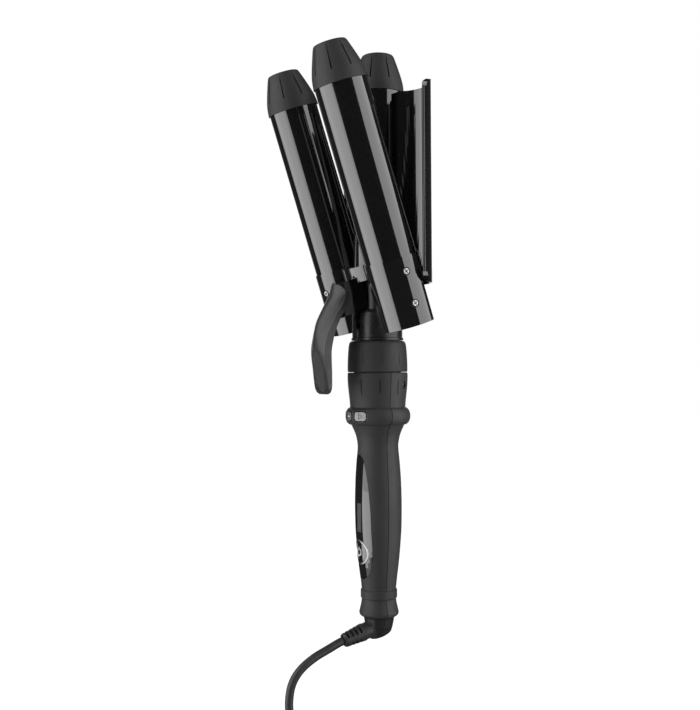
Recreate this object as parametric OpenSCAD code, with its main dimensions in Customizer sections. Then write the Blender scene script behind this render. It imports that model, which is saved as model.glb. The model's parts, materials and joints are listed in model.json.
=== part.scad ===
// Hair waver with three heated barrels on a plug-in head, shown with its jaw held open.
// +Z runs up the handle, -Y is the front with the thumb lever and the display.
// The origin is in the middle of the grip, on the handle's axis.

/* [Barrels] */
// Radius of each heated barrel
barrel_r = 16; // [14.5:0.1:16.6]
// Wall of each barrel tube
barrel_wall = 1.2; // [0.8:0.1:2]
// Distance between the two barrels of the moving jaw
barrel_spacing = 72; // [70:0.5:78]
// How far the closed moving barrels stand in front of the handle's axis
closed_front = 4; // [3:0.5:6]
// How far the fixed barrel stands behind the handle's axis
fixed_back = 1.4; // [0.5:0.1:1.5]
// Top of a moving barrel's tube above the hinge
moving_reach = 124.4; // [90:0.1:150]
// Top of the fixed barrel's tube above the hinge
fixed_reach = 123.8; // [90:0.1:150]

/* [Caps] */
// Height of an end cap above its barrel
cap_h = 24.6; // [18:0.1:32]
// Radius of an end cap at its flat top
cap_top_r = 9.8; // [7:0.1:11]
// How far a cap stands out past its barrel
cap_lip = 0.7; // [0.3:0.1:1.2]
// Number of engraved lines round a cap
cap_lines = 8; // [4:1:12]
// Depth of an engraved line
line_depth = 0.35; // [0.2:0.05:0.6]

/* [Jaw] */
// Angle that the jaw stands open
open_angle = 17.7; // [12:0.1:18]
// Wall of the jacket round a moving barrel's foot
jacket_wall = 0.8; // [0.6:0.1:1.2]
// Bottom of a jacket below the hinge
jacket_low = 24; // [18:0.5:26]
// Top of a jacket above the hinge
jacket_high = 17.6; // [14:0.1:24]
// Thickness of the web between the jackets
web_t = 1.8; // [1.2:0.1:2.4]
// Room between the web and the fixed barrel
web_gap = 1; // [0.8:0.1:1.4]
// Width of the block that carries the lever
block_w = 16; // [12:0.5:20]

/* [Hinge] */
// Height of the hinge pin above the middle of the grip
hinge_z = 143; // [142:0.5:146]
// Radius of the hinge pin
pin_r = 2.5; // [2:0.1:3]
// Running clearance round the hinge pin
pin_slack = 0.05; // [0.02:0.01:0.1]
// Radius of the wire of the jaw spring
spring_wire = 0.5; // [0.4:0.05:0.7]
// Turns of the jaw spring
spring_turns = 5; // [3:1:5]

/* [Lever] */
// Width of the thumb lever
lever_w = 21; // [16:0.5:24]
// Length of the thumb pad
pad_l = 26; // [18:0.5:27]
// Width of the thumb pad
pad_w = 14; // [9:0.5:15]

/* [Wings] */
// Room between a closed barrel and its trough
trough_gap = 2.8; // [1.8:0.1:3]
// Thickness of a wing's plate
wing_t = 1.6; // [1.2:0.1:2]
// Radius of the rounded corner of a wing's free edge
wing_corner = 6; // [3:0.5:10]

/* [Neck and ring] */
// How much narrower the head's neck is than a barrel
neck_inset = 0.1; // [0:0.05:1]
// Radius of the lock ring
ring_r = 18.95; // [18:0.05:20]
// Height of the lock ring
ring_h = 19.6; // [17:0.1:22]
// Radius of the stem that plugs into the handle
stem_r = 11.2; // [10:0.1:11.4]
// Radius of the spigot that the lock ring turns on
spigot_r = 15; // [14:0.1:15.2]
// Turn of the lock ring from open to locked
lock_turn = 36; // [20:1:50]

/* [Handle] */
// Height of the handle's top edge
handle_top = 90; // [86:0.5:94]
// Radius of the handle at its top
top_r = 19.05; // [18:0.05:20]
// Radius of the bulge that carries the keys
bulge_r = 20.65; // [20:0.05:21.5]
// Height of the middle of the bulge
bulge_z = 62.6; // [61:0.1:64]
// Radius of the handle at its waist
waist_r = 12.9; // [12.2:0.05:14]
// Radius of the handle at the middle of the grip
grip_r = 14.85; // [14:0.05:16]
// Radius of the handle above its tail
tail_r = 10.95; // [10.6:0.05:12]
// Wall of the handle shells
shell_wall = 2.2; // [1.8:0.1:2.6]
// Gap between the two handle shells
shell_gap = 0.35; // [0.1:0.05:0.5]

/* [Keys] */
// Width of a side key
key_w = 8.4; // [6:0.1:9]
// Height of a side key
key_h = 5.4; // [4:0.1:6]
// Angle between neighbouring keys round the handle
key_step = 29.5; // [28:0.5:34]
// Travel of each key
key_travel = 0.8; // [0.4:0.1:1]
// Radius of the power button
power_r = 6.3; // [4:0.1:6.6]
// Gap round each key
key_gap = 0.55; // [0.15:0.05:0.7]

/* [Tail] */
// Radius of the swivel's top
swivel_r = 9.7; // [8.8:0.1:10.4]
// Slope of the cord outlet below level
outlet_slope = 16; // [10:1:24]
// Length of the strain relief
relief_l = 24; // [20:0.5:30]
// Radius of the strain relief at its root
relief_r = 5.4; // [4.6:0.1:6]

/* [Cord and plug] */
// Diameter of the cord
cord_d = 5.2; // [4.6:0.1:5.4]
// Length of the plug's body
plug_l = 36; // [30:1:44]
// Radius of a plug pin
plug_pin_r = 2.4; // [2:0.1:2.4]
// Length of a plug pin
plug_pin_l = 19; // [15:0.5:20]
// Distance between the plug pins
plug_pin_pitch = 19; // [18:0.5:20]

/* [Hidden] */
$fn = 72;
tiny = 0.01;
seam_y = -0.4;
front = -90;

// Jaw, in its closed place with the hinge at the origin
half_spacing = barrel_spacing / 2;
tube_in = barrel_r - barrel_wall;
jacket_r = barrel_r + jacket_wall;
jacket_bore = barrel_r + 0.05;
web_in = barrel_r + web_gap;
// Below this height a jacket is cut flat behind, and the barrel's tube starts above it
foot_top = 1.2;
foot_back = 9.3;
foot_wall = 3.4;
foot_skin = 2.4;
seat_z = 2;
tower_r = barrel_r - 2.6;
tower_front = -10.4;
boss_r = 4.6;
boss_gap = 0.5;
floor_t = 2;
pin_half = half_spacing - jacket_r + 0.4;
pocket_z = 6.6;
screw_head_r = 1.9;
screw_r = 1.2;
screw_l = 3.6;
head_gap = 0.5;
head_h = jacket_wall + 0.1;
// Height above the hinge and angle of each jacket screw, for the jaw's right side
jacket_screws = [[8.7, -4.6], [-10.8, -4.6], [5, -104]];

// Thumb lever, as [y, z] in the closed jaw, from top to tip
lever_front = [[-28.4, 12.4], [-31.9, 6.5], [-40.3, -1.6], [-45.6, -7.1], [-49.1, -12.6], [-51.3, -18],
    [-52.8, -23.8], [-53.7, -30], [-54.4, -36], [-55.4, -42], [-56.2, -47.6], [-56.1, -51.6]];
lever_back = [[-27.4, 11], [-25.2, 6.5], [-25, 1.5], [-29.2, -4], [-35.6, -9.8], [-40.7, -15.6],
    [-44, -20.8], [-46.8, -26], [-48.8, -32], [-50.5, -38], [-52.3, -43.8], [-54.3, -51.4]];
// Where the crease between front and sides lies, as a share of the way from back to front
lever_crease = [0.4, 0.2, 0.25, 0.41, 0.47, 0.63, 0.76, 0.83, 0.86, 0.9, 0.93, 0.95];
lever_top = lever_front[0][1];
lever_tip = lever_front[len(lever_front) - 1][1];
lever_corner_top = 10.2;
lever_corner_tip = 4;
crown_steps = 12;
pad_mid = -37.4;
pad_inset = 0.1;
pad_t = 1.3;
// The block, as [y, z] in the closed jaw
block_side = [[-12.6, 7.6], [-11.9, 1.9], [-14.2, -8.2], [-17, -8.6], [-33, -9.6], [-26.6, -2.5],
    [-26.2, 6], [-24.6, 11], [-15.9, 11.4], [-15.9, 8.6]];
lever_screw_z = 1.5;
lever_screw_r = 1.6;
lever_head_r = 2.8;
spring_mid_r = pin_r + 1.6 + spring_wire;
coil_half = spring_turns * (2 * spring_wire + 0.35) / 2;
leg_slot = 4;
// The spring's leg, as [y, z] from the hinge pin, runs down behind the block into the neck's slot
leg_side = [[-spring_mid_r, 0], [-spring_mid_r - 0.2, -3], [-6.2, -6.6], [-9.2, -12.6], [-15.2, -22]];
pocket_half = 4.6;

// Head
trough_r = barrel_r + trough_gap;
neck_r = barrel_r - neck_inset;
cap_turn = 6;
wing_low = hinge_z + 0.7;
wing_high = hinge_z + fixed_reach - 0.8;
wing_step = 1.2;
wing_free_edge = 23;
wing_root = 150;
ring_low = handle_top + 0.3;
ring_high = ring_low + ring_h;
neck_low = ring_high + 0.4;
rim_h = 1.4;
rim_out = 0.6;
shoulder_low = neck_low + 14.8;
shoulder_high = neck_low + 19.6;
tower_high = hinge_z + 9;
spigot_up = 10;
stem_low = handle_top - 14;
stem_slack = 0.08;
ring_slack = 0.06;
lip_t = 2.6;
lip_in = stem_r + 0.9;
lug_r = spigot_r - 0.7;
lug_t = 2.4;
lug_angle = 30;
notch_angle = 38;
lug_high = ring_high - lip_t - 0.4;
spigot_high = lug_high - lug_t - 0.4;
contact_r = 1.5;
contact_slack = 0.06;
contact_circle = 6;
contact_l = 7;
groove_count = 10;

// Handle
upper_bore = 15.6;
bulge_half = 5.5;
bulge_base = top_r - 2;
bulge_low = bulge_z - bulge_half;
shelf_z = bulge_low + 0.8;
collar_high = -46.4;
collar_low = -52.2;
collar_r = tail_r + 0.6;
collar_bore = tail_r - 0.35;
end_low = -63.9;
span = grip_r - waist_r;
drop = grip_r - tail_r;
grip_stations = [[bulge_low, bulge_base - 0.2], [bulge_low - 1.4, waist_r + 3.3], [bulge_low - 4, waist_r + 2.1],
    [50, waist_r + 1], [47, waist_r + 0.4], [44, waist_r], [40.5, waist_r + 0.15], [34.5, waist_r + 0.38 * span],
    [28, waist_r + 0.63 * span], [22, waist_r + 0.81 * span], [9, grip_r], [-3, grip_r - 0.1],
    [-10, grip_r - 0.085 * drop], [-17, grip_r - 0.215 * drop], [-25, grip_r - 0.39 * drop],
    [-32, grip_r - 0.585 * drop], [-39, grip_r - 0.81 * drop], [-45.5, tail_r]];
tail_stations = [[collar_low - 0.6, tail_r], [-54.5, tail_r + 0.15], [-57.5, tail_r + 0.75],
    [-60.2, tail_r + 1.42], [-61.6, tail_r + 1.5], [-62.9, tail_r + 0.85], [end_low, tail_r - 0.85]];
top_stations = [[handle_top, top_r - 0.6], [handle_top - 0.8, top_r], [85, top_r - 0.05], [80, top_r - 0.4],
    [75, top_r - 0.95], [71, top_r - 1.35], [bulge_z + bulge_half + 0.1, top_r - 1.5]];
dimple_r = 2.5;
dimple_angle = 33.8;
dimple_z = 82;
// The window's outline, as [height, half width]
window_side = [[38.4, 0.1], [37.6, 2.2], [35.5, 4.5], [29, 6.8], [23, 8.1], [17, 9], [4, 10.1], [-8, 10.2],
    [-20, 9.9], [-28, 9.1], [-33, 7.9], [-36.5, 6], [-38.8, 3.2], [-39.5, 0.1]];
window_t = 1.2;
window_gap = 0.12;
window_ledge = 1.6;
// The window is flat across its middle, where the screen shows
window_flat = 4.8;
power_z = -22.5;
power_ring_r = power_r + 1.6;
power_face = -10.9;
power_stem = -10.2;
lcd_z = -1;
lcd_h = 18;
lcd_w = 9.2;
screen_gap = 0.12;
screen_front = -13.6;
board_y = -7.5;
board_t = 1.6;
key_angles = [front - key_step, front, front + key_step];
key_widths = [key_w, 5.6, key_w];
key_face = bulge_r - 0.35;
recess_margin = 1.2;
recess_depth = 0.9;
flange_t = 1;

// Tail and swivel
bush_high = -53;
swivel_gap = 0.35;
swivel_top = end_low - swivel_gap;
swivel_foot = swivel_top - 15;
swivel_side = [[swivel_r, swivel_top], [swivel_r - 0.45, swivel_top - 2.6], [swivel_r - 1.1, swivel_top - 5.8],
    [swivel_r - 2.1, swivel_top - 9], [swivel_r - 3.2, swivel_top - 12], [swivel_r - 4.4, swivel_foot]];
// The slanted underside passes through this point, as [y, z]
underside = [6.9, swivel_top - 8.2];
underside_slope = 22;
journal_r = 6;
journal_slack = 0.06;
journal_high = -49;
outlet_z = -69.6;
relief_start = 2;
relief_tip_r = 4.2;

// Cord, as [x, y, z] points chosen by hand
cord_r = cord_d / 2;
outlet_end = relief_start + relief_l;
outlet_dir = [0, -cos(outlet_slope), -sin(outlet_slope)];
cord_start = [0, 0, outlet_z] + outlet_end * outlet_dir;
hang_y = -61.2;
lead_route = [[0, -31.5, -79.1], [0, -37.7, -81.7], [0, -43.8, -84.3], [0, -49.4, -87.5], [0, -54, -91],
    [0, -57.8, -95.4], [0, -60.2, -100.3], [0, -61.4, -105.6], [0, -61.8, -111], [0, -61.5, -117]];
lead_points = concat([cord_start, cord_start + 3 * outlet_dir], lead_route);
hank_top = -122;
// Hank: loops lie side by side in two layers and are drawn in at the waist
run_half = 40;
fold_in = 15.6;
loop_step = 6.3;
layer_step = 6;
fold_out = fold_in + 3.125 * loop_step;
loops_all = 5.75;
waist_pull = 7.5;
hank_mid = hank_top - run_half - fold_out - 12;
loop_rings = 24;
hank_sides = 6;
tie_h = 11;
tie_t = 1.2;
tie_gap = 0.35;
tail_y = hang_y + 2 * layer_step;
tail_start_z = hank_mid - run_half - cord_d - 2;
plug_x = -18;
plug_top = tail_start_z - 44;
tail_route = [[-32.1, tail_y, tail_start_z - 6], [-31, tail_y, tail_start_z - 13],
    [-27, tail_y, tail_start_z - 21], [-22, tail_y, tail_start_z - 29],
    [plug_x, tail_y, tail_start_z - 36], [plug_x, tail_y, tail_start_z - 39],
    [plug_x, tail_y, tail_start_z - 41.5]];
plug_w = 35.5;
plug_t = 13.7;
plug_neck_r = 4.4;
plug_root_r = plug_pin_r - 0.4;

// ---------- curves ----------
function curve_at(p, i, t) =
    let (a = p[max(i - 1, 0)], b = p[i], c = p[i + 1], d = p[min(i + 2, len(p) - 1)])
    0.5 * (2 * b + (c - a) * t + (2 * a - 5 * b + 4 * c - d) * t * t + (3 * b - a - 3 * c + d) * t * t * t);
function curve(p, steps) =
    concat([for (i = [0:len(p) - 2], k = [0:steps - 1]) curve_at(p, i, k / steps)], [p[len(p) - 1]]);
function reversed(p) = [for (i = [len(p) - 1:-1:0]) p[i]];
function unit(v) = v / norm(v);
function shifted(p, v) = [for (q = p) q + v];
function as_rz(p, less) = [for (q = p) [q[1] - less, q[0]]];
function arc(c, r, a0, a1, steps) = [for (k = [0:steps]) c + r * [cos(a0 + (a1 - a0) * k / steps),
    sin(a0 + (a1 - a0) * k / steps)]];

// A tube swept along points: rings stay square to the route, kept upright by the axis "side"
function along(p, i) = unit(p[min(i + 1, len(p) - 1)] - p[max(i - 1, 0)]);
function ring_at(p, i, r, sides, side) =
    let (d = along(p, i), u = unit(cross(side, d)), v = cross(d, u))
    [for (k = [0:sides - 1]) p[i] + r * (cos(360 * k / sides) * u + sin(360 * k / sides) * v)];
module tube(p, r, sides, side) {
    last = len(p) - 1;
    points = [for (i = [0:last]) each ring_at(p, i, r, sides, side)];
    faces = concat(
        [[for (k = [0:sides - 1]) k], [for (k = [sides - 1:-1:0]) last * sides + k]],
        [for (i = [0:last - 1], k = [0:sides - 1]) let (a = i * sides + k, b = i * sides + (k + 1) % sides)
            each [[a, b + sides, b], [a, a + sides, b + sides]]]);
    polyhedron(points, faces);
}

// ---------- frames ----------
module at_jaw() {
    translate([0, 0, hinge_z]) rotate([open_angle, 0, 0]) children();
}
module at_barrel(side) {
    translate([side * half_spacing, -closed_front, 0]) children();
}
module at_fixed() {
    translate([0, fixed_back, 0]) children();
}
module at_outlet() {
    translate([0, 0, outlet_z]) rotate([90 + outlet_slope, 0, 0]) children();
}

// ---------- handle ----------
bulge_arc = [for (a = [168:-12:12])
    [bulge_z - bulge_half * cos(a), bulge_base + (bulge_r - bulge_base) * sin(a)]];
outer_line = concat(curve(top_stations, 2), bulge_arc, curve(grip_stations, 2));
grip_line = curve(grip_stations, 2);
cavity_line = [for (q = grip_line) if (q[0] < bulge_low - 0.2 && q[0] > collar_high + 4) q];

module handle_outline() {
    band = collar_bore - 0.05;
    polygon(concat([[0, end_low], [0, handle_top]], as_rz(outer_line, 0),
        [[tail_r, collar_high], [band, collar_high], [band, collar_low], [tail_r, collar_low]],
        as_rz(curve(tail_stations, 2), 0)));
}
module handle_cavity() {
    cavity_top = cavity_line[0];
    cavity_foot = cavity_line[len(cavity_line) - 1];
    polygon(concat([[0, end_low - 1], [0, handle_top + 1], [upper_bore, handle_top + 1], [upper_bore, shelf_z],
        [cavity_top[1] - shell_wall, shelf_z]], as_rz(cavity_line, shell_wall),
        [[tail_r - 3.4, cavity_foot[0]], [tail_r - 3.4, bush_high], [journal_r + 1.4, bush_high],
        [journal_r + 1.4, end_low - 1]]));
}
module handle_solid() {
    difference() {
        rotate_extrude($fn = 96) handle_outline();
        rotate_extrude($fn = 96) handle_cavity();
        for (s = [-1, 1], k = [0:3]) rotate([0, 0, front + s * (30 + 37.5 * k)]) handle_groove();
    }
}
module handle_groove() {
    groove_half = 7.6;
    translate([top_r - 0.8 - line_depth, 0, handle_top - 10.8]) rotate([0, -5, 0])
        translate([1, 0, -1.4]) cube([2, 0.55, 2 * groove_half], center = true);
}
module window_shape(more) {
    side = [for (q = curve(window_side, 2)) [max(q[1] + more, 0.05), q[0] + more * sign(q[0])]];
    polygon(concat(side, [for (q = reversed(side)) [-q[0], q[1]]]));
}
module to_front() {
    rotate([90, 0, 0]) linear_extrude(30) children();
}
skin_line = [for (q = grip_line) if (q[0] < 48 && q[0] > -46) q];
skin_top = skin_line[0][0];
skin_foot = skin_line[len(skin_line) - 1][0];
// Everything outside the grip's surface, and everything deeper than a depth below it
module outside(less) {
    rotate_extrude($fn = 96) polygon(concat([[40, skin_foot], [40, skin_top]], as_rz(skin_line, less)));
}
module inside(less) {
    rotate_extrude($fn = 96) polygon(concat([[0, skin_foot], [0, skin_top]], as_rz(skin_line, less)));
}
module front_bar() {
    translate([0, -8, 0]) rotate([90, 0, 0]) linear_extrude(14) children();
}
module at_key(i) {
    rotate([0, 0, key_angles[i]]) translate([0, 0, bulge_z + 0.2]) rotate([0, 90, 0]) children();
}
module rounded(w, h, r) {
    hull() for (x = [-1, 1], y = [-1, 1]) translate([x * (w / 2 - r), y * (h / 2 - r)]) circle(r, $fn = 24);
}
module key_cut(i) {
    at_key(i) {
        linear_extrude(30) rounded(key_h + 2 * key_gap, key_widths[i] + 2 * key_gap, 2);
        translate([0, 0, bulge_r - recess_depth])
            linear_extrude(10) rounded(key_h + 2 * recess_margin, key_widths[i] + 2 * recess_margin, 2.8);
    }
}
module dimples() {
    for (a = [dimple_angle, 180 - dimple_angle]) rotate([0, 0, a]) translate([0, 0, dimple_z])
        rotate([0, 90, 0]) {
            translate([0, 0, upper_bore + 1.2]) cylinder(r = dimple_r, h = 10);
            cylinder(r = screw_r + 0.1, h = 30);
        }
}
module half_space(front_side) {
    cut = seam_y + (front_side ? -shell_gap / 2 : shell_gap / 2);
    translate([-50, front_side ? cut - 100 : cut, -100]) cube([100, 100, 250]);
}
module handle_front_shell() {
    color("#2c2c2d") difference() {
        intersection() {
            handle_solid();
            half_space(true);
        }
        difference() {
            to_front() window_shape(window_gap);
            inside(window_t + window_gap);
        }
        to_front() window_shape(-window_ledge);
        for (i = [0:2]) key_cut(i);
    }
}
module handle_rear_shell() {
    color("#2c2c2d") difference() {
        intersection() {
            handle_solid();
            half_space(false);
        }
        dimples();
        translate([-7, 2, board_bottom - 2]) cube([14, 1, 4]);
    }
}
module tail_collar() {
    edge = 0.5;
    color("#2c2c2d") rotate_extrude() difference() {
        polygon([[collar_bore, collar_low + 0.1], [collar_r - edge, collar_low + 0.1],
            [collar_r, collar_low + 0.1 + edge], [collar_r, collar_high - 0.1 - edge],
            [collar_r - edge, collar_high - 0.1], [collar_bore, collar_high - 0.1]]);
    }
}
module socket_sleeve() {
    sleeve_low = 70;
    color("#3a3a3c") difference() {
        union() {
            translate([0, 0, sleeve_low]) cylinder(r = upper_bore - 0.05, h = handle_top - sleeve_low);
            translate([0, 0, handle_top - tiny]) cylinder(r = spigot_r, h = spigot_high - handle_top);
        }
        translate([0, 0, sleeve_low - 1]) cylinder(r = stem_r + stem_slack, h = 60);
        for (a = [dimple_angle, 180 - dimple_angle]) rotate([0, 0, a]) translate([0, 0, dimple_z])
            rotate([0, 90, 0]) cylinder(r = screw_r, h = 30);
    }
}
module contact_block() {
    block_top = stem_low - 0.4;
    color("#e8e4d8") difference() {
        translate([0, 0, block_top - 9]) cylinder(r = stem_r, h = 9);
        for (k = [0:2]) rotate([0, 0, 120 * k]) translate([contact_circle, 0, block_top - 8])
            cylinder(r = contact_r + contact_slack, h = 10, $fn = 32);
    }
}
module sleeve_screws() {
    color("#8a8a8a") for (a = [dimple_angle, 180 - dimple_angle]) rotate([0, 0, a])
        translate([0, 0, dimple_z]) rotate([0, 90, 0]) difference() {
            union() {
                translate([0, 0, stem_r + 0.6]) cylinder(r = screw_r - 0.02, h = 6, $fn = 32);
                translate([0, 0, upper_bore + 1.2]) cylinder(r = dimple_r - 0.2, h = 1, $fn = 32);
            }
            for (t = [0, 90]) rotate([0, 0, t]) translate([-1.4, -0.25, upper_bore + 1.7]) cube([2.8, 0.5, 2]);
        }
}
module display_window() {
    color("#0c0c0e") difference() {
        front_bar() window_shape(0);
        outside(-0.05);
        inside(window_t);
        flat_front();
        translate([-lcd_w / 2 - screen_gap, -20, lcd_z - lcd_h / 2 - screen_gap])
            cube([lcd_w + 2 * screen_gap, 20, lcd_h + 2 * screen_gap]);
        translate([0, 0, power_z]) rotate([90, 0, 0]) cylinder(r = power_ring_r + 0.1, h = 30);
    }
}
module flat_front() {
    cut = [for (q = skin_line) [sqrt(q[1] ^ 2 - window_flat ^ 2) - 0.05, q[0]]];
    rotate([0, 0, -90]) rotate([90, 0, 0]) linear_extrude(40, center = true)
        polygon(concat([[40, skin_top]], cut, [[40, skin_foot]]));
}
module display_screen() {
    screen_back = -9.4;
    color("#3c4640") translate([-lcd_w / 2, screen_front, lcd_z - lcd_h / 2])
        cube([lcd_w, screen_back - screen_front, lcd_h]);
}
board_bottom = -34;
module circuit_board() {
    board_w = 13.6;
    board_top = 30;
    color("#2e6a3c") difference() {
        union() {
            translate([-board_w / 2, board_y, board_bottom])
                cube([board_w, board_t, board_top - board_bottom]);
            translate([-3, board_y - 1.9 + tiny, power_z - 3]) cube([6, 1.9, 6]);
            translate([-5, board_y + board_t - tiny, 6]) cube([10, 6, 14]);
            translate([-lcd_w / 2 - 0.6, -9.3, lcd_z - lcd_h / 2 - 0.6])
                cube([lcd_w + 1.2, -board_y + 9.3 - 15 + tiny, lcd_h + 1.2]);
        }
        for (z = [board_bottom + 4, board_top - 4]) translate([0, 0, z]) rotate([90, 0, 0])
            cylinder(r = 1.1, h = 30, center = true, $fn = 32);
    }
}
module board_screws() {
    color("#9a9a9a") for (z = [board_bottom + 4, 26]) translate([0, board_y, z]) rotate([90, 0, 0]) {
        translate([0, 0, -6]) cylinder(r = 1.08, h = 6, $fn = 32);
        cylinder(r = 2, h = 1.1, $fn = 32);
    }
}
module power_ring() {
    color("#b4b4b6") difference() {
        translate([0, -8, power_z]) rotate([90, 0, 0]) cylinder(r = power_ring_r, h = 14);
        outside(-0.2);
        inside(window_t);
        translate([0, 0, power_z]) rotate([90, 0, 0]) cylinder(r = power_r + key_gap, h = 30);
    }
}
module power_button() {
    color("#18181a") {
        difference() {
            translate([0, power_face, power_z]) rotate([90, 0, 0]) cylinder(r = power_r, h = 8);
            outside(0.1);
        }
        translate([0, power_stem, power_z]) rotate([90, 0, 0]) cylinder(r = 2.4, h = 2);
    }
}
module key_board() {
    carrier_in = 11.6;
    switch_h = 1.4;
    color("#2e6a3c") intersection() {
        union() {
            translate([0, 0, bulge_z - 3.6]) difference() {
                cylinder(r = carrier_in + 1.4, h = 7.6);
                translate([0, 0, -1]) cylinder(r = carrier_in, h = 10);
            }
            for (i = [0:2]) at_key(i) translate([0, 0, carrier_in + 1]) cylinder(r = 1.5, h = switch_h);
        }
        translate([-30, -60, bulge_z - 10]) cube([60, 60 + seam_y, 20]);
    }
}
module key(i) {
    intersection() {
        at_key(i) {
            translate([0, 0, 15]) linear_extrude(10) rounded(key_h, key_widths[i], 1.8);
            translate([0, 0, 15.35]) cylinder(r = 1.6, h = 1);
        }
        rotate_extrude($fn = 96) translate([0, bulge_z - 8]) square([key_face, 16]);
    }
}
module minus_key() {
    color("#8f8f8f") key(0);
}
module mode_key() {
    color("#57575a") key(1);
}
module plus_key() {
    color("#8f8f8f") key(2);
}
module swivel_bush() {
    color("#d8d4c8") difference() {
        translate([0, 0, end_low + 0.6]) cylinder(r = journal_r + 1.35, h = bush_high - end_low - 0.6);
        translate([0, 0, end_low - 1]) cylinder(r = journal_r + journal_slack, h = 40);
    }
}

// ---------- lock ring and head ----------
module lock_ring() {
    outline = [[spigot_r + ring_slack, ring_low], [ring_r - 0.4, ring_low], [ring_r, ring_low + 0.5],
        [ring_r, ring_low + 4], [ring_r - 0.1, ring_low + 8], [ring_r - 0.35, ring_low + 12.5],
        [ring_r - 0.7, ring_low + 16.2], [ring_r - 1.1, ring_low + 18.2], [ring_r - 1.8, ring_low + 19.2],
        [ring_r - 2.8, ring_high], [lip_in, ring_high], [lip_in, ring_high - lip_t],
        [spigot_r + ring_slack, ring_high - lip_t]];
    color("#2c2c2d") difference() {
        rotate_extrude($fn = 96) polygon(outline);
        for (k = [0:2]) rotate([0, 0, 120 * k + front])
            sector(lug_r + 0.4, notch_angle, ring_high - lip_t - 1, ring_high + 1);
        for (k = [0:groove_count - 1]) rotate([0, 0, front + 360 / groove_count * k])
            translate([ring_r - line_depth - 0.05, 0, ring_low + 11.5]) rotate([0, -1.5, 0])
                translate([1, 0, 0]) cube([2, 0.7, 13], center = true);
    }
}
module sector(r, angle, low, high) {
    translate([0, 0, low]) linear_extrude(high - low)
        polygon(concat([[0, 0]], arc([0, 0], r, -angle / 2, angle / 2, 12)));
}
module head_neck() {
    outline = [[0, stem_low], [stem_r, stem_low], [stem_r, neck_low], [neck_r + rim_out, neck_low],
        [neck_r + rim_out, neck_low + rim_h], [neck_r, neck_low + rim_h + 0.3], [neck_r, shoulder_low],
        [neck_r - 0.5, shoulder_low + 2.4], [tower_r + 0.6, shoulder_high - 0.6], [tower_r - 1, shoulder_high],
        [0, shoulder_high]];
    color("#1a1a1b") difference() {
        union() {
            rotate_extrude($fn = 96) polygon(outline);
            for (k = [0:2]) rotate([0, 0, 120 * k + front])
                sector(lug_r, lug_angle, lug_high - lug_t, lug_high);
            at_fixed() {
                translate([0, 0, shoulder_high - 1]) cylinder(r = tower_r, h = tower_high - shoulder_high + 1);
                translate([0, 0, tower_high - tiny]) cylinder(r = tube_in - 0.03, h = spigot_up);
            }
        }
        translate([-30, tower_front - 40, shoulder_high]) cube([60, 40, tower_high - shoulder_high]);
        translate([0, 0, hinge_z]) rotate([0, 90, 0]) cylinder(r = pin_r + pin_slack, h = 80, center = true);
        translate([-pocket_half, tower_front - 1, hinge_z - pocket_z]) cube([2 * pocket_half, 17.6, 2 * pocket_z]);
        translate([coil_half - leg_slot / 2, -neck_r - 2, hinge_z - 25.5])
            cube([leg_slot, neck_r - 3, 25.5 - pocket_z + tiny]);
        for (k = [0:2]) rotate([0, 0, 120 * k]) translate([contact_circle, 0, stem_low - 1])
            cylinder(r = contact_r, h = 5, $fn = 32);
    }
}
module contact_pins() {
    color("#c8a850") for (k = [0:2]) rotate([0, 0, 120 * k]) translate([contact_circle, 0, 0]) {
        translate([0, 0, stem_low - contact_l + 1]) cylinder(r = contact_r, h = contact_l + 2, $fn = 32);
        translate([0, 0, stem_low - contact_l]) cylinder(r1 = contact_r - 0.6, r2 = contact_r, h = 1, $fn = 32);
    }
}
module barrel_tube(low, high) {
    translate([0, 0, low]) difference() {
        cylinder(r = barrel_r, h = high - low, $fn = 120);
        translate([0, 0, -1]) cylinder(r = tube_in, h = high - low + 2);
    }
}
module fixed_barrel() {
    color("#050506") at_fixed() barrel_tube(tower_high, hinge_z + fixed_reach);
}
module cap_solid(turn) {
    base_r = barrel_r + cap_lip;
    fall = base_r - cap_top_r;
    skirt = 7;
    side = curve([[0, base_r], [6, base_r - 0.1 * fall], [11.6, base_r - 0.32 * fall],
        [17, base_r - 0.58 * fall], [cap_h - 2.2, base_r - 0.86 * fall], [cap_h - 0.5, base_r - 0.99 * fall],
        [cap_h, cap_top_r - 1.2]], 3);
    difference() {
        rotate_extrude($fn = 96) polygon(concat([[0, -skirt], [tube_in - 0.03, -skirt], [tube_in - 0.03, 0]],
            as_rz(side, 0), [[0, cap_h + 0.3]]));
        translate([0, 0, -skirt - 1]) cylinder(r = tube_in - 2, h = skirt + 4);
        for (k = [0:cap_lines - 1]) rotate([0, 0, 360 / cap_lines * k + turn]) cap_line(fall);
    }
}
module cap_line(fall) {
    lean = atan(0.6 * fall / (cap_h - 9));
    translate([cap_top_r + 0.29 * fall - line_depth, 0, cap_h - 5.4]) rotate([0, -lean, 0])
        translate([1.5, 0, -2]) cube([3, 0.8, 21], center = true);
}
module fixed_cap() {
    color("#2c2c2d") at_fixed() translate([0, 0, hinge_z + fixed_reach]) cap_solid(0);
}
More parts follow.
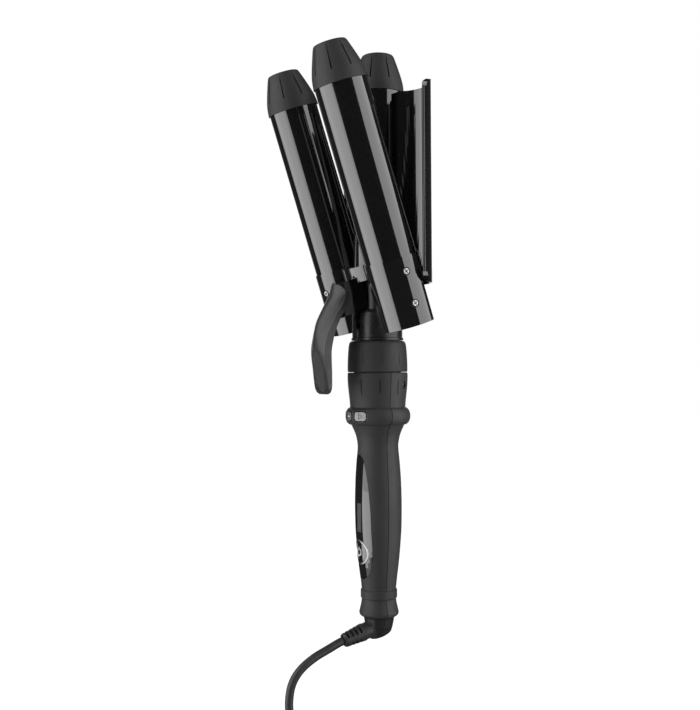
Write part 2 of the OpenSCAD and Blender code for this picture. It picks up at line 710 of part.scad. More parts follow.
// A wing is a trough that is concentric with the closed barrel, with a flange to the fixed barrel
module wing_section() {
    centre = [half_spacing, -closed_front];
    inner = arc(centre, trough_r, wing_free_edge, wing_root, 40);
    flange_low = centre[1] + trough_r * sin(wing_root);
    flange_high = flange_low + wing_t;
    outer_end = 180 - asin((flange_high - centre[1]) / (trough_r + wing_t));
    outer = arc(centre, trough_r + wing_t, outer_end, wing_free_edge, 40);
    edge_mid = centre + (trough_r + wing_t / 2) * [cos(wing_free_edge), sin(wing_free_edge)];
    edge = arc(edge_mid, wing_t / 2, wing_free_edge, wing_free_edge - 180, 8);
    edge_inner = [for (k = [1:7]) edge[k]];
    difference() {
        polygon(concat(inner, [[10, flange_low], [10, flange_high]], outer, edge_inner));
        translate([0, fixed_back]) circle(barrel_r, $fn = 120);
    }
}
module wing() {
    free_x = half_spacing + trough_r - wing_corner - 1;
    difference() {
        translate([0, 0, wing_low]) linear_extrude(wing_high - wing_low) wing_section();
        translate([-1, -50, wing_high - wing_step]) cube([free_x, 100, 10]);
        translate([free_x, 0, wing_low]) corner_cut();
        translate([free_x, 0, wing_high]) mirror([0, 0, 1]) corner_cut();
    }
}
module corner_cut() {
    rotate([90, 0, 0]) linear_extrude(100, center = true) difference() {
        translate([0, -1]) square([wing_corner + 4, wing_corner + 1]);
        translate([0, wing_corner]) circle(wing_corner);
        translate([-1, -2]) square([1, 20]);
    }
}
module near_wing() {
    color("#0a0a0b") wing();
}
module far_wing() {
    color("#0a0a0b") mirror([1, 0, 0]) wing();
}
// Two half-round blocks hold the heater plate against the barrel's wall
module heat_block(low, high) {
    plate_room = 3.2;
    color("#b8b8bc") for (s = [-1, 1]) translate([0, 0, low]) difference() {
        cylinder(r = tube_in - 0.05, h = high - low);
        translate([-40, s > 0 ? -80 + plate_room / 2 : -plate_room / 2, -1]) cube([80, 80, high - low + 2]);
        for (x = [-7.5, 7.5]) translate([x, s * 7, -1]) cylinder(r = 3, h = high - low + 2, $fn = 32);
    }
}
module heater_plate(low, high) {
    color("#e6dcc8") translate([-9, -1.5, low]) cube([18, 3, high - low]);
}
block_low = 22;
module fixed_heat_block() {
    at_fixed() translate([0, 0, hinge_z]) heat_block(block_low, fixed_reach - 12);
}
module fixed_heater() {
    at_fixed() translate([0, 0, hinge_z]) heater_plate(block_low + 3, fixed_reach - 15);
}
// Torsion spring: its coil lies round the hinge pin and its leg stands in the neck's slot
module jaw_spring() {
    steps = 12;
    coil = [for (i = [0:spring_turns * steps - 1]) let (a = 180 + 360 * i / steps)
        [-coil_half + 2 * coil_half * i / (spring_turns * steps), spring_mid_r * cos(a), spring_mid_r * sin(a)]];
    leg = [for (q = leg_side) [coil_half, q[0], q[1]]];
    color("#c0c0c4") translate([0, 0, hinge_z]) tube(concat(coil, leg), spring_wire, 6, [1, 0, 0]);
}

// ---------- moving jaw ----------
module hinge_pin() {
    color("#a8a8ac") at_jaw() rotate([0, 90, 0]) cylinder(r = pin_r, h = 2 * pin_half, center = true);
}
module jacket(side) {
    at_barrel(side) difference() {
        translate([0, 0, -jacket_low]) cylinder(r = jacket_r, h = jacket_low + jacket_high, $fn = 120);
        translate([-30, foot_back, -jacket_low - 1]) cube([60, 30, jacket_low + foot_top + 1]);
    }
}
module jacket_room(side) {
    at_barrel(side) {
        translate([0, 0, seat_z]) cylinder(r = jacket_bore, h = 100, $fn = 120);
        difference() {
            translate([0, 0, floor_t - jacket_low])
                cylinder(r = jacket_r - foot_wall, h = jacket_low - floor_t + seat_z + tiny, $fn = 96);
            translate([-30, foot_back - foot_skin, -jacket_low]) cube([60, 30, jacket_low + seat_z + 1]);
        }
    }
}
module boss(side) {
    boss_from = tower_r + boss_gap;
    boss_to = half_spacing - jacket_r + 1.2;
    translate([side * boss_from, 0, 0]) rotate([0, side * 90, 0])
        cylinder(r = boss_r, h = boss_to - boss_from);
}
module web() {
    centre = [0, fixed_back];
    reach = 62;
    inner = arc(centre, web_in, front - reach, front + reach, 36);
    outer = arc(centre, web_in + web_t, front - reach, front + reach, 36);
    flange_y = fixed_back - (web_in + web_t) * cos(reach);
    translate([0, 0, block_side[0][1] + 0.6]) linear_extrude(jacket_high - block_side[0][1] - 0.6) {
        polygon(concat(inner, reversed(outer)));
        for (s = [0, 1]) mirror([s, 0]) translate([web_in * sin(reach), flange_y])
            square([half_spacing - jacket_r - web_in * sin(reach) + 1.6, web_t]);
    }
}
module block() {
    rotate([90, 0, 90]) translate([0, 0, -block_w / 2]) linear_extrude(block_w) polygon(block_side);
}
// Each child stands on a screw's seat with +Z pointing out of the jacket
module screw_axes(side) {
    for (s = jacket_screws) at_barrel(side) translate([0, 0, s[0]])
        rotate([0, 0, side > 0 ? s[1] : 180 - s[1]]) rotate([0, 90, 0]) translate([0, 0, barrel_r]) children();
}
module jaw_housing() {
    color("#08080a") at_jaw() difference() {
        union() {
            for (s = [-1, 1]) {
                jacket(s);
                boss(s);
            }
            web();
            block();
        }
        for (s = [-1, 1]) {
            jacket_room(s);
            screw_axes(s) {
                cylinder(r = screw_head_r + head_gap, h = 6, $fn = 40);
                translate([0, 0, -screw_l]) cylinder(r = screw_r, h = screw_l + 1, $fn = 32);
            }
        }
        rotate([0, 90, 0]) cylinder(r = pin_r, h = 2 * pin_half, center = true);
        translate([0, 0, lever_screw_z]) rotate([90, 0, 0]) {
            cylinder(r = lever_screw_r + 0.05, h = 60, $fn = 32);
            cylinder(r = lever_head_r + 0.2, h = 17, $fn = 40);
        }
    }
}
module moving_barrel(side) {
    color("#050506") at_jaw() difference() {
        at_barrel(side) barrel_tube(seat_z, moving_reach);
        screw_axes(side) translate([0, 0, -screw_l]) cylinder(r = screw_r, h = 10, $fn = 32);
    }
}
module near_barrel() {
    moving_barrel(1);
}
module far_barrel() {
    moving_barrel(-1);
}
module moving_cap(side) {
    color("#2c2c2d") at_jaw() at_barrel(side) translate([0, 0, moving_reach]) cap_solid(cap_turn);
}
module near_cap() {
    moving_cap(1);
}
module far_cap() {
    moving_cap(-1);
}
module near_heat_block() {
    at_jaw() at_barrel(1) heat_block(block_low, moving_reach - 12);
}
module far_heat_block() {
    at_jaw() at_barrel(-1) heat_block(block_low, moving_reach - 12);
}
module near_heater() {
    at_jaw() at_barrel(1) heater_plate(block_low + 3, moving_reach - 15);
}
module far_heater() {
    at_jaw() at_barrel(-1) heater_plate(block_low + 3, moving_reach - 15);
}
module jacket_screws() {
    color("#b0b0b2") at_jaw() for (s = [-1, 1]) screw_axes(s) difference() {
        union() {
            translate([0, 0, -screw_l]) cylinder(r = screw_r, h = screw_l + 0.1, $fn = 32);
            translate([0, 0, 0.05]) cylinder(r1 = screw_head_r, r2 = screw_head_r - 0.25, h = head_h, $fn = 40);
        }
        for (t = [20, 110]) rotate([0, 0, t]) translate([-1.35, -0.3, 0.3]) cube([2.7, 0.6, 3]);
    }
}
// The lever's section at each place: flat back and sides, then a crease and a crowned front
function end_width(z) =
    let (up = min(lever_corner_tip, z - lever_tip), down = min(lever_corner_top, lever_top + 0.01 - z))
    lever_w / 2 - lever_corner_tip + sqrt(lever_corner_tip ^ 2 - (lever_corner_tip - up) ^ 2)
    - lever_corner_top + sqrt(lever_corner_top ^ 2 - (lever_corner_top - down) ^ 2);
function lever_section(f, b, share, half) =
    let (deep = norm(f - b), way = (f - b) / deep, edge = share * deep,
        crown = [for (k = [0:crown_steps]) let (t = 1 - 2 * k / crown_steps)
            [half * t, edge + (deep - edge) * (1 - t * t)]])
    [for (q = concat([[half, 0]], crown, [[-half, 0]])) [q[0], b[0] + q[1] * way[0], b[1] + q[1] * way[1]]];
module lever_shell() {
    f = curve(lever_front, 3);
    b = curve(lever_back, 3);
    share = curve([for (c = lever_crease) [c, 0]], 3);
    last = len(f) - 1;
    rings = [for (i = [0:last]) lever_section(f[i], b[i], share[i][0], end_width(f[i][1]))];
    n = len(rings[0]);
    faces = concat([[for (k = [0:n - 1]) k], [for (k = [n - 1:-1:0]) last * n + k]],
        [for (i = [0:last - 1], k = [0:n - 1]) let (p = i * n + k, q = i * n + (k + 1) % n)
            each [[p, q + n, q], [p, p + n, q + n]]]);
    polyhedron([for (r = rings) each r], faces);
}
module lever_layer(from_front, to_front) {
    near_line = curve(shifted(lever_front, [from_front, 0]), 3);
    far_line = curve(shifted(lever_front, [to_front, 0]), 3);
    rotate([90, 0, 90]) translate([0, 0, -20]) linear_extrude(40)
        polygon(concat(near_line, reversed(far_line)));
}
module pad_face(more) {
    translate([0, pad_mid]) scale([(pad_w + 2 * more) / (pad_l + 2 * more), 1]) circle(pad_l / 2 + more);
}
module thumb_lever() {
    color("#333334") at_jaw() difference() {
        lever_shell();
        block_room();
        intersection() {
            lever_layer(-2, pad_inset + pad_t);
            rotate([90, 0, 0]) linear_extrude(80) pad_face(0.1);
        }
        translate([0, 0, lever_screw_z]) rotate([90, 0, 0]) cylinder(r = lever_screw_r, h = 31.5, $fn = 32);
    }
}
module block_room() {
    rotate([90, 0, 90]) translate([0, 0, -block_w / 2 - 0.05]) linear_extrude(block_w + 0.1)
        polygon(block_side);
}
module thumb_pad() {
    color("#3c3c3d") at_jaw() intersection() {
        lever_layer(pad_inset, pad_inset + pad_t);
        rotate([90, 0, 0]) linear_extrude(80) pad_face(0);
    }
}
module lever_screw() {
    color("#9a9a9a") at_jaw() translate([0, 0, lever_screw_z]) rotate([90, 0, 0]) difference() {
        union() {
            translate([0, 0, 16]) cylinder(r = lever_screw_r, h = 15, $fn = 32);
            translate([0, 0, 15]) cylinder(r = lever_head_r, h = 1.9, $fn = 40);
        }
        for (t = [0, 90]) rotate([0, 0, t]) translate([-1.6, -0.3, 14]) cube([3.2, 0.6, 2]);
    }
}

// ---------- tail and cord ----------
module swivel_body() {
    color("#101012") difference() {
        union() {
            rotate_extrude() polygon(concat([[0, swivel_foot], [0, swivel_top]], swivel_side));
            translate([0, 0, swivel_top - tiny]) cylinder(r = journal_r, h = journal_high - swivel_top);
        }
        translate([0, underside[0], underside[1]]) rotate([underside_slope, 0, 0])
            translate([-20, -40, -20]) cube([40, 80, 20]);
        translate([0, 0, journal_high - 3.2]) difference() {
            cylinder(r = 20, h = 1.2);
            translate([0, 0, -1]) cylinder(r = journal_r - 1, h = 4);
        }
        at_outlet() translate([0, 0, relief_start]) cylinder(r1 = relief_r + 0.02, r2 = relief_r - 0.2, h = 20);
        translate([0, 0, -66]) cylinder(r = cord_r, h = 60);
    }
}
module swivel_clip() {
    color("#a0a0a0") translate([0, 0, journal_high - 3.1]) difference() {
        cylinder(r = journal_r + 0.9, h = 1);
        translate([0, 0, -1]) cylinder(r = journal_r - 0.95, h = 4);
        translate([-2, 0, -1]) cube([4, 20, 4]);
    }
}
// The relief is a tapered sleeve with slots cut from above and below in turn
module strain_relief() {
    slot_step = 2.9;
    slot_w = 1.3;
    slot_floor = 1.6;
    color("#141415") at_outlet() translate([0, 0, relief_start]) difference() {
        rotate_extrude() polygon([[0, 0], [relief_r, 0], [relief_r - 0.2, 9.2], [relief_r + 0.2, 9.8],
            [relief_r + 0.1, 11], [relief_tip_r + 0.2, relief_l - 1], [relief_tip_r - 0.3, relief_l], [0, relief_l]]);
        for (k = [0:3]) translate([-10, slot_floor, 12 + slot_step * k]) cube([20, 10, slot_w]);
        for (k = [0:2]) translate([-10, -10 - slot_floor, 13.4 + slot_step * k]) cube([20, 10, slot_w]);
    }
}
module cord_lead() {
    color("#1c1c1d") tube(curve(concat(lead_points, [[0, hang_y, hank_top]]), 2), cord_r, 8, [1, 0, 0]);
}
// Place on the hank after "t" loops: [across, height] on a long loop of straight runs and round folds
turn_back = 3;
function fold_at(t) = fold_in + loop_step * abs(t - turn_back - 0.125);
function flat_loop(t) =
    let (u = t - floor(t), q = 4 * u - floor(4 * u), w = fold_at(t), a = 180 * q)
    u < 0.25 ? [w, run_half * (2 * q - 1)]
    : u < 0.5 ? [w * cos(a), run_half + w * sin(a)]
    : u < 0.75 ? [-w, run_half * (1 - 2 * q)]
    : [-w * cos(a), -run_half - w * sin(a)];
function drawn_in(p) = abs(p[1]) > run_half ? p
    : [p[0] - sign(p[0]) * waist_pull * (1 + cos(180 * p[1] / run_half)) / 2, p[1]];
function smooth(q) = let (c = min(max(q, 0), 1)) c * c * (3 - 2 * c);
function layer_at(t) = layer_step * (smooth(4 * t) + smooth(4 * (t - turn_back)));
function loop_point(t) = let (p = drawn_in(flat_loop(t))) [p[0], hang_y + layer_at(t), hank_mid + p[1]];
entry_points = concat(
    [for (z = [hank_top, hank_top - 20, hank_top - 40, hank_top - 60, hank_mid, hank_mid - 20]) [0, hang_y, z]],
    [for (k = [0:6]) let (r = fold_out / 2, a = 180 + 180 * k / 7)
        [r + r * cos(a), hang_y, hank_mid - run_half + r * sin(a)]]);
hank_points = concat(entry_points,
    [for (i = [0:loops_all * loop_rings]) loop_point(i / loop_rings)],
    [[-fold_at(loops_all), tail_y, tail_start_z]]);
hank_last = len(hank_points) - 1;
hank_gap = min([for (i = [0:hank_last - 9], j = [i + 9:hank_last])
    norm(hank_points[i] - hank_points[j]) - cord_d]);
hank_length = sum_steps(hank_points, 0);
function sum_steps(p, i) = i >= len(p) - 1 ? 0 : norm(p[i + 1] - p[i]) + sum_steps(p, i + 1);
module cord_hank() {
    echo(hank_gap = hank_gap, hank_length = hank_length, plug_top = plug_top, tail_y = tail_y);
    color("#1c1c1d") tube(hank_points, cord_r, hank_sides, [0, 1, 0]);
}
module cord_tie() {
    across = fold_out - waist_pull + cord_r + tie_gap;
    deep = layer_step + cord_r + tie_gap;
    color("#19191a") translate([0, hang_y + layer_step, hank_mid - tie_h / 2]) linear_extrude(tie_h) difference() {
        rounded(2 * (across + tie_t), 2 * (deep + tie_t), 5);
        rounded(2 * across, 2 * deep, 3.8);
    }
}
module cord_tail() {
    route = concat([hank_points[hank_last]], tail_route, [[plug_x, tail_y, plug_top]]);
    color("#1c1c1d") tube(curve(route, 3), cord_r, 8, [0, 1, 0]);
}
module at_plug() {
    translate([plug_x, tail_y, plug_top]) children();
}
module plug_body() {
    neck_l = 12;
    color("#161617") at_plug() {
        translate([0, 0, -neck_l]) cylinder(r1 = plug_neck_r + 1, r2 = plug_neck_r - 1, h = neck_l, $fn = 48);
        translate([0, 0, -plug_l]) difference() {
            hull() {
                translate([0, 0, 0]) linear_extrude(8) rounded(plug_w, plug_t, 5);
                translate([0, 0, plug_l - neck_l - 1]) linear_extrude(1) rounded(13, 11, 5);
            }
            for (s = [-1, 1]) translate([s * plug_pin_pitch / 2, 0, -1]) cylinder(r = plug_root_r, h = 7, $fn = 40);
        }
    }
}
module plug_pins() {
    color("#c4c4c6") at_plug() for (s = [-1, 1]) translate([s * plug_pin_pitch / 2, 0, -plug_l]) {
        translate([0, 0, -plug_pin_l]) cylinder(r = plug_pin_r, h = plug_pin_l, $fn = 40);
        translate([0, 0, -1]) cylinder(r = plug_root_r, h = 7, $fn = 40);
        translate([0, 0, -plug_pin_l - 1.4]) cylinder(r1 = plug_pin_r - 1.2, r2 = plug_pin_r, h = 1.4, $fn = 40);
    }
}

handle_front_shell();
handle_rear_shell();
tail_collar();
socket_sleeve();
contact_block();
sleeve_screws();
display_window();
display_screen();
circuit_board();
board_screws();
power_ring();
power_button();
key_board();
minus_key();
mode_key();
plus_key();
swivel_bush();
lock_ring();
head_neck();
contact_pins();
fixed_barrel();
fixed_cap();
near_wing();
far_wing();
fixed_heat_block();
fixed_heater();
jaw_spring();
hinge_pin();
jaw_housing();
near_barrel();
far_barrel();
near_cap();
far_cap();
near_heat_block();
far_heat_block();
near_heater();
far_heater();
jacket_screws();
thumb_lever();
thumb_pad();
lever_screw();
swivel_body();
swivel_clip();
strain_relief();
cord_lead();
cord_hank();
cord_tie();
cord_tail();
plug_body();
plug_pins();
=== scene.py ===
import json
import math

import bmesh
import bpy
from mathutils import Matrix, Vector


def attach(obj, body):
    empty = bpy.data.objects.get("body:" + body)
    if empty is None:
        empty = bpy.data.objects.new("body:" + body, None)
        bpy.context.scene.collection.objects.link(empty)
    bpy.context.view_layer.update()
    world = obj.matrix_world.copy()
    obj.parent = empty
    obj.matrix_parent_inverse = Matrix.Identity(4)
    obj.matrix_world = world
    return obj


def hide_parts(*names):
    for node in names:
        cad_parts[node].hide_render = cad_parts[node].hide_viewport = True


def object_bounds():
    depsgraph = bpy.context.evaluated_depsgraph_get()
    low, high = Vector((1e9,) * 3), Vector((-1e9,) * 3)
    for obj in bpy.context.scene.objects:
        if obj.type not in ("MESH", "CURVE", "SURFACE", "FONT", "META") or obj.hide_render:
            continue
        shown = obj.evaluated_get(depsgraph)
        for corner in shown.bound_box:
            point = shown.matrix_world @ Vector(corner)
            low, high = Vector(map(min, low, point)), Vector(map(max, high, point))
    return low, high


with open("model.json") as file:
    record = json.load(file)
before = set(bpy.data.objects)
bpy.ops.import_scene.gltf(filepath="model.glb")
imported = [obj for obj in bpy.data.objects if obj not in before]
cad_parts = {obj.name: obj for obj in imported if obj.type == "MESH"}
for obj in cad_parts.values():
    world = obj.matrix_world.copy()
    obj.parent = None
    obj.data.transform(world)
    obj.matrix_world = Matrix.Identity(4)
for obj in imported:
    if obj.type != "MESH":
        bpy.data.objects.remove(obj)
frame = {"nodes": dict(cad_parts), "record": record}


def as_plain(corners):
    return [[float(v) for v in corner] for corner in corners]


cad_bounds = as_plain(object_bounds())
nodes = frame["nodes"]
MM = 0.001

# ---------- camera, fitted to the photograph ----------
CAMERA_AT = Vector((0.59119, -0.30530, 0.09375))
CAMERA_AZIMUTH = math.radians(64.186)
CAMERA_PITCH = math.radians(0.641)
CAMERA_ROLL = math.radians(-0.340)
CAMERA_LENS = 53.905


def make_camera():
    az, pitch, roll = CAMERA_AZIMUTH, CAMERA_PITCH, CAMERA_ROLL
    level_out = math.cos(pitch)
    forward = Vector((-math.sin(az) * level_out, math.cos(az) * level_out, math.sin(pitch)))
    level = Vector((math.cos(az), math.sin(az), 0))
    above = level.cross(forward)
    right = math.cos(roll) * level + math.sin(roll) * above
    up = -math.sin(roll) * level + math.cos(roll) * above
    data = bpy.data.cameras.new("camera")
    data.sensor_fit = "HORIZONTAL"
    data.sensor_width = 36
    data.lens = CAMERA_LENS
    data.clip_start = 0.01
    camera = bpy.data.objects.new("camera", data)
    camera.matrix_world = Matrix.Translation(CAMERA_AT) @ Matrix((
        (right.x, up.x, -forward.x, 0),
        (right.y, up.y, -forward.y, 0),
        (right.z, up.z, -forward.z, 0),
        (0, 0, 0, 1)))
    bpy.context.scene.collection.objects.link(camera)
    bpy.context.scene.camera = camera


make_camera()

# ---------- the cord's route, as in the part's source, in millimetres ----------
CORD_D = 5.2
OUTLET_Z = -69.6
OUTLET_SLOPE = math.radians(16)
OUTLET_END = 26
HANG_Y = -61.2
HANK_TOP = -122
RUN_HALF = 40
FOLD_IN = 15.6
LOOP_STEP = 6.3
LAYER_STEP = 6
TURN_BACK = 3
LOOPS = 5.75
WAIST_PULL = 7.5
FOLD_OUT = FOLD_IN + 3.125 * LOOP_STEP
HANK_MID = HANK_TOP - RUN_HALF - FOLD_OUT - 12
TAIL_Y = HANG_Y + 2 * LAYER_STEP
TAIL_START = HANK_MID - RUN_HALF - CORD_D - 2
PLUG_X = -18
PLUG_TOP = TAIL_START - 44
DROP_STEPS = 10
TURN_STEPS = 14
LOOP_STEPS = 48
CORD_SIDES = 20


def smooth(q):
    c = min(max(q, 0), 1)
    return c * c * (3 - 2 * c)


def fold_at(t):
    return FOLD_IN + LOOP_STEP * abs(t - TURN_BACK - 0.125)


def loop_point(t):
    u = t - math.floor(t)
    q = 4 * u - math.floor(4 * u)
    w = fold_at(t)
    a = math.pi * q
    if u < 0.25:
        x, z = w, RUN_HALF * (2 * q - 1)
    elif u < 0.5:
        x, z = w * math.cos(a), RUN_HALF + w * math.sin(a)
    elif u < 0.75:
        x, z = -w, RUN_HALF * (1 - 2 * q)
    else:
        x, z = -w * math.cos(a), -RUN_HALF - w * math.sin(a)
    if abs(z) <= RUN_HALF:
        x -= math.copysign(WAIST_PULL * (1 + math.cos(math.pi * z / RUN_HALF)) / 2, x)
    y = HANG_Y + LAYER_STEP * (smooth(4 * t) + smooth(4 * (t - TURN_BACK)))
    return x, y, HANK_MID + z


def rounded_route(points, steps):
    made = []
    last = len(points) - 1
    for i in range(last):
        a, b = Vector(points[max(i - 1, 0)]), Vector(points[i])
        c, d = Vector(points[i + 1]), Vector(points[min(i + 2, last)])
        for k in range(steps):
            t = k / steps
            made.append(0.5 * (2 * b + (c - a) * t + (2 * a - 5 * b + 4 * c - d) * t * t
                               + (3 * b - a - 3 * c + d) * t ** 3))
    made.append(Vector(points[last]))
    return made


def cord_route():
    outlet = Vector((0, -math.cos(OUTLET_SLOPE), -math.sin(OUTLET_SLOPE)))
    start = Vector((0, 0, OUTLET_Z)) + OUTLET_END * outlet
    lead = [start, start + 3 * outlet, (0, -31.5, -79.1), (0, -37.7, -81.7), (0, -43.8, -84.3),
            (0, -49.4, -87.5), (0, -54, -91), (0, -57.8, -95.4), (0, -60.2, -100.3),
            (0, -61.4, -105.6), (0, -61.8, -111), (0, -61.5, -117), (0, HANG_Y, HANK_TOP)]
    route = rounded_route(lead, 3)
    bottom = HANK_MID - RUN_HALF
    fall = bottom - HANK_TOP
    route += [Vector((0, HANG_Y, HANK_TOP + fall * k / DROP_STEPS)) for k in range(1, DROP_STEPS)]
    turn = FOLD_OUT / 2
    for k in range(TURN_STEPS):
        a = math.pi + math.pi * k / TURN_STEPS
        route.append(Vector((turn + turn * math.cos(a), HANG_Y, bottom + turn * math.sin(a))))
    route += [Vector(loop_point(i / LOOP_STEPS)) for i in range(int(LOOPS * LOOP_STEPS) + 1)]
    tail = [(-fold_at(LOOPS), TAIL_Y, bottom), (-fold_at(LOOPS), TAIL_Y, TAIL_START),
            (-32.1, TAIL_Y, TAIL_START - 6), (-31, TAIL_Y, TAIL_START - 13),
            (-27, TAIL_Y, TAIL_START - 21), (-22, TAIL_Y, TAIL_START - 29),
            (PLUG_X, TAIL_Y, TAIL_START - 36), (PLUG_X, TAIL_Y, TAIL_START - 39),
            (PLUG_X, TAIL_Y, TAIL_START - 41.5), (PLUG_X, TAIL_Y, PLUG_TOP)]
    route += rounded_route(tail, 4)[1:]
    return [p * MM for p in route]


def round_tube(made, points, radius, sides):
    """A closed tube along the points; each ring is turned from the last, so it never twists."""
    rings = []
    last = len(points) - 1
    along = (points[1] - points[0]).normalized()
    across = along.orthogonal().normalized()
    for i, p in enumerate(points):
        ahead = (points[min(i + 1, last)] - points[max(i - 1, 0)]).normalized()
        across = (along.rotation_difference(ahead) @ across).normalized()
        along = ahead
        beside = along.cross(across)
        turns = [2 * math.pi * k / sides for k in range(sides)]
        spokes = [radius * (math.cos(a) * across + math.sin(a) * beside) for a in turns]
        rings.append([made.verts.new(p + spoke) for spoke in spokes])
    for low, high in zip(rings, rings[1:]):
        for k in range(sides):
            j = (k + 1) % sides
            made.faces.new((low[k], low[j], high[j], high[k])).smooth = True
    made.faces.new(rings[0][::-1])
    made.faces.new(rings[-1])
    return made


def make_cord():
    points = cord_route()
    mesh = bpy.data.meshes.new("power_cord")
    made = round_tube(bmesh.new(), points, CORD_D / 2 * MM, CORD_SIDES)
    made.to_mesh(mesh)
    made.free()
    cord = bpy.data.objects.new("power_cord", mesh)
    bpy.context.scene.collection.objects.link(cord)
    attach(cord, "swivel")
    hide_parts("cord_lead", "cord_hank", "cord_tail")
    return cord


cord = make_cord()


# ---------- materials ----------
class Shader:
    """A Principled material with object coordinates in metres and small helpers for its nodes."""

    def __init__(self, name, color, roughness, metallic=0.0, specular=0.5, coat=0.0,
                 coat_roughness=0.05):
        self.material = bpy.data.materials.new(name)
        self.material.use_nodes = True
        self.tree = self.material.node_tree
        self.main = self.tree.nodes["Principled BSDF"]
        self.main.inputs["Base Color"].default_value = (*color, 1)
        self.main.inputs["Roughness"].default_value = roughness
        self.main.inputs["Metallic"].default_value = metallic
        self.main.inputs["Specular IOR Level"].default_value = specular
        self.main.inputs["Coat Weight"].default_value = coat
        self.main.inputs["Coat Roughness"].default_value = coat_roughness
        self.coords = self.tree.nodes.new("ShaderNodeTexCoord").outputs["Object"]
        self.color = color
        self.roughness = roughness
        self.bumps = None

    def noise(self, scale, detail=3.0, stretch=(1, 1, 1)):
        node = self.tree.nodes.new("ShaderNodeTexNoise")
        node.inputs["Scale"].default_value = scale
        node.inputs["Detail"].default_value = detail
        mapping = self.tree.nodes.new("ShaderNodeMapping")
        mapping.inputs["Scale"].default_value = stretch
        self.tree.links.new(self.coords, mapping.inputs["Vector"])
        self.tree.links.new(mapping.outputs["Vector"], node.inputs["Vector"])
        return node.outputs["Fac"]

    def spots(self, scale):
        node = self.tree.nodes.new("ShaderNodeTexVoronoi")
        node.inputs["Scale"].default_value = scale
        self.tree.links.new(self.coords, node.inputs["Vector"])
        return node.outputs["Distance"]

    def span(self, value, low, high, from_low=0.3, from_high=0.7):
        node = self.tree.nodes.new("ShaderNodeMapRange")
        ends = (("From Min", from_low), ("From Max", from_high), ("To Min", low), ("To Max", high))
        for name, v in ends:
            node.inputs[name].default_value = v
        self.tree.links.new(value, node.inputs["Value"])
        return node.outputs["Result"]

    def vary_roughness(self, value, spread):
        out = self.span(value, max(self.roughness - spread, 0.02), self.roughness + spread)
        self.tree.links.new(out, self.main.inputs["Roughness"])

    def vary_color(self, value, other):
        node = self.tree.nodes.new("ShaderNodeMix")
        node.data_type = "RGBA"
        node.inputs["A"].default_value = (*self.color, 1)
        node.inputs["B"].default_value = (*other, 1)
        self.tree.links.new(self.span(value, 0, 1), node.inputs["Factor"])
        self.tree.links.new(node.outputs["Result"], self.main.inputs["Base Color"])

    def bump(self, value, strength, depth):
        node = self.tree.nodes.new("ShaderNodeBump")
        node.inputs["Strength"].default_value = strength
        node.inputs["Distance"].default_value = depth
        self.tree.links.new(value, node.inputs["Height"])
        if self.bumps is not None:
            self.tree.links.new(self.bumps, node.inputs["Normal"])
        self.bumps = node.outputs["Normal"]
        self.tree.links.new(self.bumps, self.main.inputs["Normal"])


def soft_touch(name, color, roughness=0.55):
    s = Shader(name, color, roughness, specular=0.3)
    s.vary_roughness(s.noise(90, 4), 0.05)
    s.vary_color(s.noise(40, 3), tuple(1.18 * c for c in color))
    s.bump(s.noise(2600, 2), 0.16, 0.00012)
    s.bump(s.noise(160, 2), 0.05, 0.0003)
    return s.material


def moulded(name, color, roughness=0.42):
    s = Shader(name, color, roughness, specular=0.45)
    s.vary_roughness(s.noise(130, 4), 0.07)
    s.vary_color(s.noise(60, 3), tuple(1.25 * c for c in color))
    s.bump(s.spots(1500), 0.12, 0.0001)
    return s.material


def gloss(name, color, roughness=0.07):
    s = Shader(name, color, roughness, specular=0.5, coat=1.0, coat_roughness=0.03)
    s.vary_roughness(s.noise(55, 5), 0.03)
    s.vary_color(s.noise(30, 2), tuple(1.3 * c for c in color))
    s.bump(s.noise(35, 2), 0.04, 0.0004)
    return s.material


def ceramic_coat(name):
    s = Shader(name, (0.0035, 0.0035, 0.004), 0.09, specular=0.5, coat=1.0, coat_roughness=0.03)
    s.vary_roughness(s.noise(70, 5, (1, 1, 0.25)), 0.03)
    s.vary_color(s.spots(900), (0.006, 0.006, 0.007))
    s.bump(s.noise(900, 3), 0.03, 0.00006)
    return s.material


LCD_HALF = 0.0026
LCD_EDGE = 0.0001


def lcd(name):
    """A grey panel that is black beyond half the width of its field."""
    s = Shader(name, (0.075, 0.078, 0.075), 0.3, specular=0.4, coat=0.5)
    s.vary_roughness(s.noise(55, 5), 0.03)
    split = s.tree.nodes.new("ShaderNodeSeparateXYZ")
    s.tree.links.new(s.coords, split.inputs["Vector"])
    beside = s.tree.nodes.new("ShaderNodeMath")
    beside.operation = "ABSOLUTE"
    s.tree.links.new(split.outputs["X"], beside.inputs[0])
    outside = s.span(beside.outputs[0], 0, 1, LCD_HALF - LCD_EDGE, LCD_HALF + LCD_EDGE)
    s.vary_color(outside, (0.006, 0.006, 0.006))
    return s.material


def metal(name, color, roughness, grain=(1, 1, 1)):
    s = Shader(name, color, roughness, metallic=1.0)
    s.vary_roughness(s.noise(240, 4, grain), 0.08)
    s.bump(s.noise(1400, 2, grain), 0.06, 0.00005)
    return s.material


def cord_rubber(name):
    s = Shader(name, (0.022, 0.022, 0.023), 0.44, specular=0.45)
    s.vary_roughness(s.noise(150, 4), 0.08)
    s.vary_color(s.noise(80, 3), (0.03, 0.03, 0.031))
    s.bump(s.noise(700, 3), 0.1, 0.0001)
    return s.material


